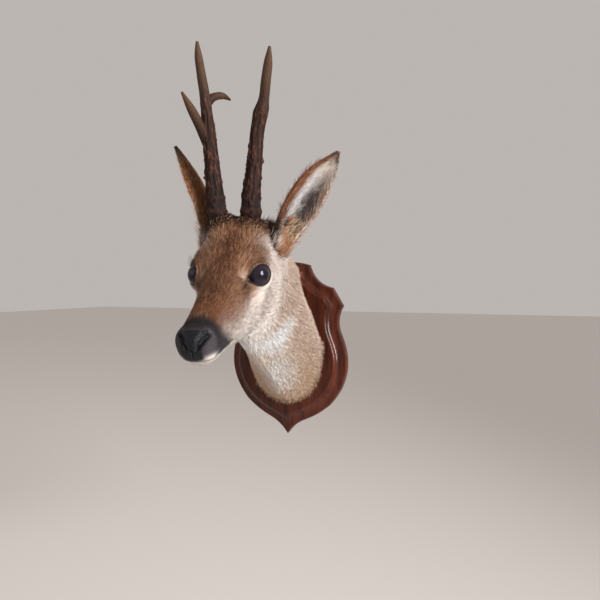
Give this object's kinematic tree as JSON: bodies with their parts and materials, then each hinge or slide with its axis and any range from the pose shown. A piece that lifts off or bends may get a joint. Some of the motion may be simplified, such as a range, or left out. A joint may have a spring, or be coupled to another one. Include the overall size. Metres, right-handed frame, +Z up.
{
  "type": "roe deer shoulder mount",
  "caption": "Roe buck shoulder mount: head and neck with antlers, turned to its left, on a moulded dark wooden wall shield.",
  "frame": {"origin": "middle of the shield's flat back, on the wall plane, halfway between the top of its crest and its point", "axes": "+Z up, +Y into the wall, so that the animal looks along -Y into the room; +X is the animal's left"},
  "size_m": [0.2572, 0.4193, 0.4899],
  "materials": {
    "board": "dark red-brown mahogany, varnished to a gloss",
    "hanger": "thin yellowed zinc-plated strip",
    "coat": "short fawn hair, reddish brown on the face, cream on cheeks and throat",
    "nose": "black pebbled bare skin with a soft shine",
    "ear": "brown hair outside, long pale hair inside",
    "eye": "near-black polished glass-like eye",
    "antler": "dark brown bone with paler ridges and pearls",
    "antler_tip": "smooth grey-brown bone, rubbed pale at the points"
  },
  "bodies": {
    "root": {"shield_board": "board", "hanger": "hanger", "neck_lower": "coat", "neck_upper": "coat", "head": "coat", "muzzle": "coat", "nose_pad": "nose", "ear_left": "ear", "ear_right": "ear", "eye_left": "eye", "eye_right": "eye", "antler_left_beam": "antler", "antler_left_middle": "antler", "antler_left_tip": "antler_tip", "antler_right_beam": "antler", "antler_right_middle": "antler", "antler_right_tip": "antler_tip", "antler_right_front_tine": "antler_tip", "antler_right_rear_tine": "antler_tip"}
  },
  "joints": []
}
